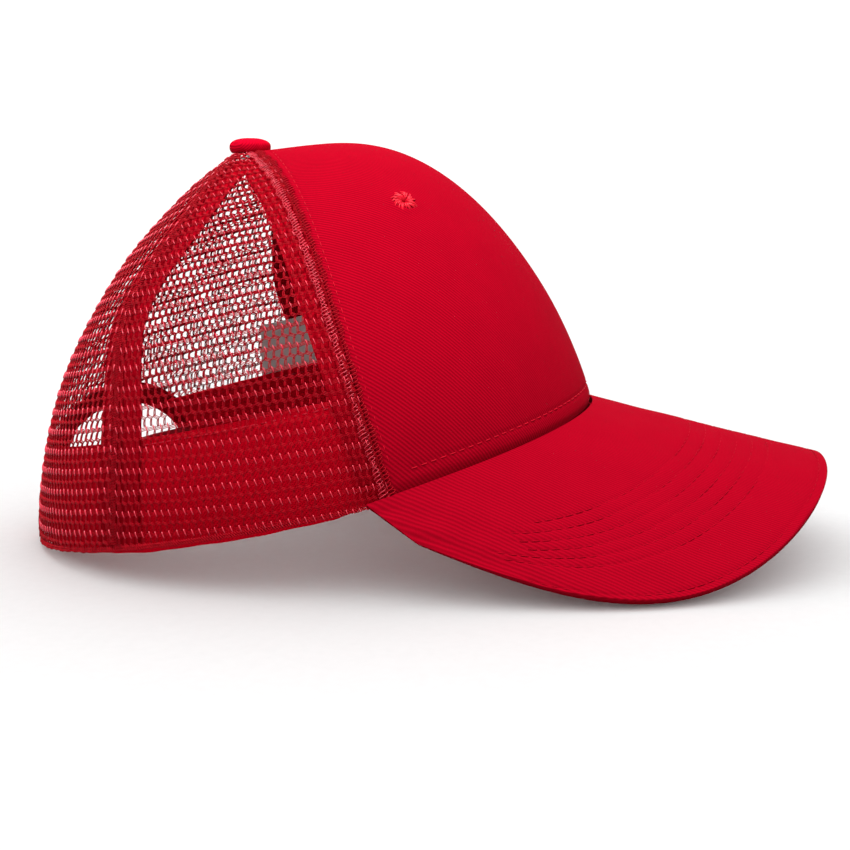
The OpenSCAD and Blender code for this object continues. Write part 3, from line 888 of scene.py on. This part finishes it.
def add_sweatband():
    """A band inside the crown, doubled over a rounded fold at the hem."""
    turns = np.radians(np.linspace(0, 90, 6)[:0:-1])
    up = np.concatenate([BAND_FOLD_R - BAND_FOLD_R * np.sin(turns), [BAND_FOLD_R],
                         np.linspace(0, 1, 26)[1:] * SWEATBAND_H])[:, None]
    thin = np.concatenate([BAND_FOLD_R - BAND_FOLD_R * np.cos(turns), np.zeros(26)])[:, None]
    a = np.linspace(-1, 1, 330) * sweatband_end(up)
    t = t_at_height(a, brim_line(a) + up)
    lowered = sweatband_drop(a) * np.clip(1 - up / 5, 0, 1)
    stitched = groove(up - BAND_STITCH_LOW, 0.16, 0.7) + groove(up - SWEATBAND_H + 2, 0.14, 0.7)
    soft = 0.25 * np.sin(np.radians(a) * 9 + up * 0.15) + 0.12 * np.sin(np.radians(a) * 31)

    def face(d, sign):
        places = layer(a, t, d + sign * (thin + stitched) + soft)
        places[..., 2] -= lowered
        return places

    outer = face(BAND_OUT, 1)
    add_sheet("sweatband_cloth", outer, face(BAND_IN, -1), band_cloth,
              weave_map(run_along(outer[0]), up), "stretched",
              ["front_buckram_left", "front_buckram_right"], replaces=["sweatband"],
              slot="sweatband_cloth")
    rows = []
    for height, d in ((BAND_STITCH_LOW, BAND_IN + 0.05), (BAND_STITCH_HIGH, BAND_IN + 0.05),
                      (BAND_STITCH_HIGH, BAND_OUT - 0.05)):
        end = sweatband_end(height) - 1
        rows.append(crown_stitches(above_edge(height), -end, end, 3.1, 2.4, 0.19, d))
    add_stitches("sweatband_stitches", rows, sewing_thread, ["sweatband_stitching"])


add_binding()
add_sweatband()


# --- label and topstitching
def add_label():
    """A care label that hangs above the sweatband and curls a little."""
    h = np.linspace(*LABEL_H, 40)[:, None]
    a = np.linspace(*LABEL_A, 50) + 0 * h
    share = (h - LABEL_H[0]) / (LABEL_H[1] - LABEL_H[0])
    d = LABEL_D + (0.5 * share * np.sin(np.radians(a - LABEL_A[0]) * 11) + 0.9 * share**3)
    t = t_at_height(a, h)
    add_sheet("care_label_cloth", layer(a, t, d), layer(a, t, d + LABEL_T), label_cloth,
              weave_map(np.radians(a - 118) * HALF_WIDTH, h), "hung", ["sweatband_cloth"],
              replaces=["care_label"], slot="label_cloth")


def add_topstitching():
    rows = []
    for side, _ in SIDES:
        for seam, inward, d in ((centre_seam, 1, 0.34), (front_seam, -1, 0.16)):
            low = t_at_height(seam(45.0), BRIM_RISE + TOPSTITCH_UP)
            rows.append(crown_stitches(beside_seam(side, seam, inward * TOPSTITCH_IN), low,
                                       t_at_radius(seam(45.0), 11), 3.0, 2.4, 0.15, d))
        rows.append(crown_stitches(above_edge(TOPSTITCH_UP, side), 2.5, 64, 3.0, 2.4, 0.17, 0.14))
    add_stitches("crown_topstitches", rows, crown_thread, ["crown_topstitching"])


add_label()
add_topstitching()


# --- eyelets and button
def add_eyelet(side, word):
    """A vent worked over with thick radial stitches, nearly closed in the middle."""
    centre = crown(side * EYELET_A, EYELET_T)
    n = crown_normal(side * EYELET_A, EYELET_T)
    east = unit(np.cross(n, [0, 0, 1]))
    north = np.cross(n, east)

    def around(turn):
        return np.cos(turn)[..., None] * east + np.sin(turn)[..., None] * north

    def uneven(low, high):
        return rng.uniform(low, high, count)[:, None]

    count = 38
    turn = (np.arange(count)[:, None] + uneven(-0.45, 0.45)) * 2 * np.pi / count
    turn = turn + 0.16 * np.sin(turn * 9 + 1)
    r = np.array([0.55, 0.8, 1.35, 2.1, 2.9, 3.5, 3.95])
    h = np.array([-1.35, -0.55, 0.25, 0.6, 0.5, 0.1, -0.45])
    girth = 0.27 * np.array([0.5, 0.8, 1.0, 1.15, 1.1, 0.95, 0.6])
    long = 1 + uneven(-0.12, 0.16)
    high = 0.9 + 0.3 * np.sin(turn * 4.5 + 0.6) + uneven(-0.3, 0.3)
    swirl = turn + (0.10 + uneven(-0.12, 0.12)) * (r - 2)
    lines = centre + (r * long)[..., None] * around(swirl) + (h * high)[..., None] * n
    worked = tube_parts(lines, n, girth * (1 + uneven(-0.12, 0.12)), sides=6)
    ring = centre + 2.2 * around(np.linspace(0, 2 * np.pi, 49)) + 0.02 * n
    pad = tube_parts(ring[None], n, 0.32, sides=8)
    add_stitches(f"eyelet_thread_{word}", [worked, pad], eyelet_thread, [f"eyelet_{word}"])


def add_button():
    """The button's cloth: a low pleated dome whose side turns in a little, turned round the top point."""
    r, top, widest, low, thick = 6.8, 4.15, 1.3, -0.7, 0.5
    rise = np.radians(np.linspace(90, 0, 22))
    fall = np.linspace(0, 1, 9)[1:]

    def outline(inset):
        """Radii and heights, from the middle of the dome out and down to the lower edge."""
        dome = (np.maximum(0.02, (r - inset) * np.cos(rise) ** 0.85),
                widest + (top - widest - inset) * np.sin(rise) ** 0.85)
        side = r - inset - 0.8 * fall**3, widest + (low - widest) * fall
        return np.concatenate([dome, side], axis=1)

    turn = np.linspace(0, 2 * np.pi, 96, endpoint=False)[:, None]
    wide, high = np.concatenate([outline(0), outline(thick)[:, ::-1]], axis=1)[:, None]
    fold = 0.16 * np.clip(wide / r, 0, 1) ** 5 * (
        np.sin(9 * turn + 0.7) + 0.6 * np.sin(17 * turn + 2) + 0.3 * np.sin(31 * turn))
    z = high + fold * 0.5 + 0.05 * np.sin(3 * turn) * (wide / r)
    wide = wide + fold * 0.6
    points = np.stack([wide * np.cos(turn), TOP_Y + wide * np.sin(turn), TOP_Z + z], -1)
    at = np.arange(z.size).reshape(z.shape)
    right = np.roll(at, -1, 0)
    quads = np.stack([at, right, np.roll(right, -1, 1), np.roll(at, -1, 1)], -1)
    weave = np.stack([points[..., 0], points[..., 1] + 1.3 * points[..., 2]], -1)
    add_piece("button_cloth", points, quads, button_cloth, weave=weave, replaces=["button_cover"],
              slot="button_cloth")


for side, word in SIDES:
    add_eyelet(side, word)
add_button()


# --- brim
BRIM_TIP_Z, BRIM_LENGTH = 10.5, 74
BRIM_CURL, BRIM_BULGE, BRIM_SQUARE, BRIM_U_END, BRIM_T = 3.4, 12.3, 2.5, 0.94, 3.0
BRIM_CLOTH_T = 0.55
BRIM_TIP_Y = -HALF_LENGTH - BRIM_LENGTH
CREST_SLOPE = (HALF_LENGTH * HEM_SLOPE + BRIM_RISE - BRIM_TIP_Z) / BRIM_LENGTH
ARCH_POWER = 1.9
HORN_X, HORN_Y = hem_xy(BRIM_END)
# rows of stitching, as (v, share of the brim's width): one at the edge and six in the middle
STITCH_ROWS = [(0.965, 26 / 30)] + [(0.82 - 0.066 * i, 1 - 2 * (2 + i // 3) / 30) for i in range(1, 7)]


def crest_z(y):
    return BRIM_TIP_Z + CREST_SLOPE * (y - BRIM_TIP_Y)


ARCH_DROP = (crest_z(HORN_Y) + HORN_Y * HEM_SLOPE) / HORN_X**ARCH_POWER


def brim_edge(u):
    s, c = np.abs(np.sin(np.pi / 2 * u)), np.cos(np.pi / 2 * u)
    x = HORN_X * s ** (2 / BRIM_SQUARE) + 2 * BRIM_BULGE * s * s * c
    y = lerp(HORN_Y, BRIM_TIP_Y, c ** (2 / BRIM_SQUARE))
    z = crest_z(y) - ARCH_DROP * x**ARCH_POWER - BRIM_CURL * s * np.sin(np.pi * u) ** 2
    return np.stack([np.sign(u) * x, y, z], -1)


def brim_root(u):
    a = u * BRIM_END
    return layer(a, t_at_height(a, brim_line(a)), -0.35)


def brim_at(u, v, d, out=0.0):
    """A point of the brim: u runs across it, v from root to edge, d down and out past the edge."""
    u, v, d, out = (x[..., None] for x in np.broadcast_arrays(u, v, d, out))
    root, edge = brim_root(u[..., 0]), brim_edge(u[..., 0])
    before, after = (np.clip(u[..., 0] + step, -0.99, 0.99) for step in (-0.01, 0.01))
    across = (lerp(brim_root(after), brim_edge(after), v) - lerp(brim_root(before), brim_edge(before), v))
    return lerp(root, edge, v) + out * unit(edge - root) - d * unit(np.cross(edge - root, across))


def brim_grooves(u, v, reach, depth):
    """How far the rows of stitching pull the cloth down."""
    pull = 0 * u * v
    for v0, share in STITCH_ROWS:
        inside = smooth((BRIM_U_END * share + 0.02 - np.abs(u)) / 0.03)
        pull = pull + inside * groove((v - v0) * reach, depth, 0.75)
    return pull


def brim_face(rows, cols, top):
    """Points of a cover's outer and inner face, which end rolled round the rim."""
    u = np.linspace(-BRIM_U_END, BRIM_U_END, cols)
    reach = np.linalg.norm(brim_edge(u) - brim_root(u), axis=-1)
    start = 1 - 0.4 / reach
    v = np.concatenate([np.linspace(0, 1, rows)[:, None] * start, start + np.zeros((8, 1))])
    turns = np.radians(np.linspace(0, 90, 6)[1:])
    roll = np.concatenate([np.zeros(rows), turns, np.full(3, np.pi / 2)])[:, None]
    down = np.concatenate([np.zeros(rows + 5), [0.35, 0.7, 0.92]])[:, None]
    out = BRIM_CLOTH_T * np.sin(roll) - 0.2 * down**3 + 0 * v
    soft = (0.10 * np.sin(14 * u + 9 * v) + 0.07 * np.sin(31 * u - 13 * v + 1)
            + 0.05 * np.sin(57 * u + 21 * v)) * np.clip(v * 6, 0, 1) * (roll == 0)
    sag = BRIM_CLOTH_T * (1 - np.cos(roll)) + down
    dent = brim_grooves(u, v, reach, 0.13) * (roll == 0)
    d = sag + dent + soft if top else BRIM_T - sag - dent - soft
    inward = BRIM_CLOTH_T if top else -BRIM_CLOTH_T
    return (brim_at(u, v, d, out),
            brim_at(u, v, d + inward * np.cos(roll * 0.9), out - 0.45 * np.sin(roll)))


def add_brim():
    for name, top, material, node_name, rows, cols in (
            ("brim_top_cloth", True, brim_cloth, "brim_top_cover", 190, 190),
            ("brim_under_cloth", False, under_cloth, "brim_under_cover", 120, 130)):
        outer, inner = brim_face(rows, cols, top)
        add_sheet(name, outer, inner, material, outer[..., :2], "stretched", ["brim_board"],
                  replaces=[node_name], slot="brim_cloth")
    rows = []
    for v0, share in STITCH_ROWS:
        end = BRIM_U_END * share
        u = along_line(lambda u: brim_at(u, v0, 0.10), -end, end, 3.3)
        high, low = brim_at(u, v0, 0.10), brim_at(u, v0, BRIM_T - 0.14)
        along = brim_at(u + 0.002, v0, 0.10) - brim_at(u - 0.002, v0, 0.10)
        ups = unit(high - brim_at(u, v0, 1.24))
        rows += [stitch_parts(at, along, up, 2.6, 0.13, 0.35) for at, up in ((high, ups), (low, -ups))]
    add_stitches("brim_stitches", rows, brim_thread, ["brim_stitching"])


add_brim()


# --- straps
STRAP_H, STRAP_LOW, STRAP_T = 18, 2, 1.0
HINGE_AT, HINGE_GAP, ROOT_END, STRAP_TIP, TIP_ROUNDING = 33.5, 0.6, 54, 22, 4
SNAP_FIRST, SNAP_PITCH, SNAPS = 18, 9, 6
HOLE_R, STUD_R = 2.5, 1.5
STRAP_OUTER_D, STRAP_INNER_D = 0.6, 1.95
RIM_IN, RIM_ROUNDING = 0.35, 0.28
STRAP_YS = np.linspace(RIM_IN, STRAP_H - RIM_IN, 9)


def back_place(mm, h, d):
    """A point at the back: mm to the left of the middle, h up and d in from the crown's surface."""
    a = 180 - arch_angle(mm)
    return layer(a, t_at_height(a, h), d)


def welded(patches):
    """One flat mesh from patches of quads that meet at their edges."""
    points, quads = joined(patches)
    _, first, same = np.unique(np.round(points, 4), axis=0, return_index=True, return_inverse=True)
    return points[first], same.reshape(-1)[quads]


def grid_patch(xs, ys):
    x, y = np.meshgrid(xs, ys)
    at = np.arange(x.size).reshape(x.shape)
    quads = np.stack([at[:-1, :-1], at[:-1, 1:], at[1:, 1:], at[1:, :-1]], -1).reshape(-1, 4)
    return np.stack([x.ravel(), y.ravel()], -1), quads


def hole_patch(centre):
    """A cell of the strap round one hole, from the hole's rim out to a rectangle."""
    xs = np.linspace(centre - SNAP_PITCH / 2, centre + SNAP_PITCH / 2, 9)
    edge = np.array([(xs[-1], y) for y in STRAP_YS[4:-1]] + [(x, STRAP_YS[-1]) for x in xs[::-1][:-1]]
                    + [(xs[0], y) for y in STRAP_YS[::-1][:-1]] + [(x, STRAP_YS[0]) for x in xs[:-1]]
                    + [(xs[-1], y) for y in STRAP_YS[:4]])
    turn = np.linspace(0, 2 * np.pi, len(edge), endpoint=False)
    rim = np.array([centre, STRAP_H / 2]) + HOLE_R * np.stack([np.cos(turn), np.sin(turn)], -1)
    shares = np.array([0, 0.06, 0.14, 0.4, 0.7, 1])[:, None, None]
    rings = lerp(rim, edge, shares)
    at = np.arange(rings[..., 0].size).reshape(rings.shape[:2])
    after = np.roll(at, -1, 1)
    return rings.reshape(-1, 2), np.stack([at[:-1], at[1:], after[1:], after[:-1]], -1).reshape(-1, 4)


def add_strap(side, name, replaced, holed):
    """Half of the snap strap in one piece, thinned where it leaves the binding; the half with holes also
    moves outwards there.
    """
    ys = np.concatenate([[0], STRAP_YS, [STRAP_H]])
    if holed:
        holes = SNAP_PITCH * np.arange(SNAPS) - SNAP_FIRST
        xs = np.linspace(holes[0] - SNAP_PITCH / 2, holes[-1] + SNAP_PITCH / 2, 8 * SNAPS + 1)
        patches = [hole_patch(centre) for centre in holes]
        patches += [grid_patch(xs, ys[:2]), grid_patch(xs, ys[-2:])]
        patches.append(grid_patch(np.linspace(xs[-1], ROOT_END, 40), ys))
    else:
        patches = [grid_patch(np.linspace(-STRAP_TIP, ROOT_END, 130), ys)]
    flat, quads = welded(patches)
    mm, h = flat.T
    near_tip = np.clip((TIP_ROUNDING - mm - STRAP_TIP) / TIP_ROUNDING, 0, 1)
    h = STRAP_H / 2 + (h - STRAP_H / 2) * np.sqrt(np.maximum(1 - (0.75 * near_tip) ** 2, 0))
    edges = np.concatenate([quads[:, [k, (k + 1) % 4]] for k in range(4)])
    _, first, uses = np.unique(np.sort(edges, axis=1), axis=0, return_index=True, return_counts=True)
    border = edges[first[uses == 1]]
    rounding = np.zeros(len(flat))
    rounding[border.ravel()] = RIM_ROUNDING
    ramp = np.clip((HINGE_AT - HINGE_GAP - mm) / 10, 0, 1)
    d = lerp(STRAP_INNER_D, STRAP_OUTER_D if holed else STRAP_INNER_D, ramp)
    thin = groove(mm - HINGE_AT, 0.28, 1.2)
    outer, inner = (back_place(side * mm, STRAP_LOW + h, depth)
                    for depth in (d + rounding + 0.4 * thin, d + STRAP_T - rounding - thin))
    low, high = border.T
    faces = np.concatenate([quads, quads[:, ::-1] + len(flat),
                            np.stack([high, low, low + len(flat), high + len(flat)], -1)])
    strap = add_piece(name, [outer, inner], faces, strap_plastic, replaces=replaced, slot="strap_plastic",
                      body=None)
    start, end = (back_place(side * (HINGE_AT + s), 11, STRAP_INNER_D + 0.5) * MM for s in (1.6, -1.6))
    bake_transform(strap)


def add_studs():
    """Snap studs on the inner half, each a post with a rounded head in its hole."""
    mm = RIGHT * (SNAP_PITCH * np.arange(SNAPS) - SNAP_FIRST)
    foot = back_place(mm, STRAP_LOW + STRAP_H / 2, STRAP_INNER_D + 0.2)
    a = 180 - arch_angle(mm)
    n = crown_normal(a, t_at_height(a, STRAP_LOW + STRAP_H / 2))
    lift = np.array([0, 0.35, 0.9, 1.15, 1.35, 1.5, 1.56])[:, None]
    girth = STUD_R * np.array([1.18, 1.0, 0.92, 1.0, 0.94, 0.7, 0.25])
    studs = tube_parts(foot[:, None] + lift * n[:, None], [0.0, 0, 1], girth, sides=24)
    add_piece("strap_studs", *studs, strap_plastic, slot="strap_plastic", body="strap_inner")


add_strap(LEFT, "strap_half_with_holes", ["strap_with_holes", "strap_root_left"], True)
add_strap(RIGHT, "strap_half_with_studs", ["strap_with_studs", "strap_root_right"], False)
add_studs()

for name, material, slot in (("button_shell", bare_steel, "button_steel"),
                             ("button_rivet", bare_steel, "button_steel"),
                             ("brim_board", board_plastic, "brim_plastic")):
    cad_node = bpy.data.objects[name]
    for place in cad_node.material_slots:
        place.material = material


# --- camera, floor and lights, in metres
CAMERA_AT = Vector((-0.4482, -0.0884, 0.0941))
CAMERA_AIM = Vector((0.0044, -0.0365, 0.0169))
LENS, SENSOR = 57.3, 36
KEY_AT, KEY_AIM, KEY_SIZE, KEY_WATTS = Vector((-0.25, -0.02, 1.3)), Vector((0, -0.02, 0.05)), 0.7, 40
STUDIO_STRENGTH = 1.14
FLOOR_SIZE = 60.0


def aimed(name, data, at, aim):
    """A camera or light at one point, facing another."""
    made = placed(name, data)
    made.location = at
    made.rotation_euler = (aim - at).to_track_quat("-Z", "Y").to_euler()
    return made


def add_camera():
    data = bpy.data.cameras.new("camera")
    data.lens, data.sensor_width = LENS, SENSOR
    data.clip_start, data.clip_end = 0.01, 20
    bpy.context.scene.camera = aimed("camera", data, CAMERA_AT, CAMERA_AIM)


def add_floor():
    made, tree, shader = new_material("floor_paper", (0.95, 0.95, 0.95), 0.9, 0.0)
    grain = noise(tree, place_of(tree, False), 3.0, 3.0)
    graded(tree, shader, grain, [(0.3, (0.94, 0.94, 0.94)), (0.7, (0.96, 0.96, 0.96))])
    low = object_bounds()[0][2] - 0.0002
    mesh = bpy.data.meshes.new("floor")
    corners = [(x * FLOOR_SIZE, y * FLOOR_SIZE, low) for x, y in ((-1, -1), (1, -1), (1, 1), (-1, 1))]
    mesh.from_pydata(corners, [], [(0, 1, 2, 3)])
    mesh.materials.append(made)
    placed("floor", mesh)


def add_key_light():
    """A round soft box that lights every piece but the floor, which the white studio lights."""
    data = bpy.data.lights.new("key", "AREA")
    data.shape, data.size, data.energy = "DISK", KEY_SIZE, KEY_WATTS
    lit = bpy.data.collections.new("key_lit")
    for piece in bpy.context.scene.objects:
        if piece.type == "MESH" and piece.name != "floor":
            lit.objects.link(piece)
    aimed("key", data, KEY_AT, KEY_AIM).light_linking.receiver_collection = lit


def add_world():
    world = bpy.data.worlds.new("studio")
    world.use_nodes = True
    back = world.node_tree.nodes["Background"]
    back.inputs["Color"].default_value = (1, 1, 1, 1)
    back.inputs["Strength"].default_value = STUDIO_STRENGTH
    bpy.context.scene.world = world


add_camera()
add_floor()
add_world()
add_key_light()
bpy.context.scene.view_settings.view_transform = "Standard"
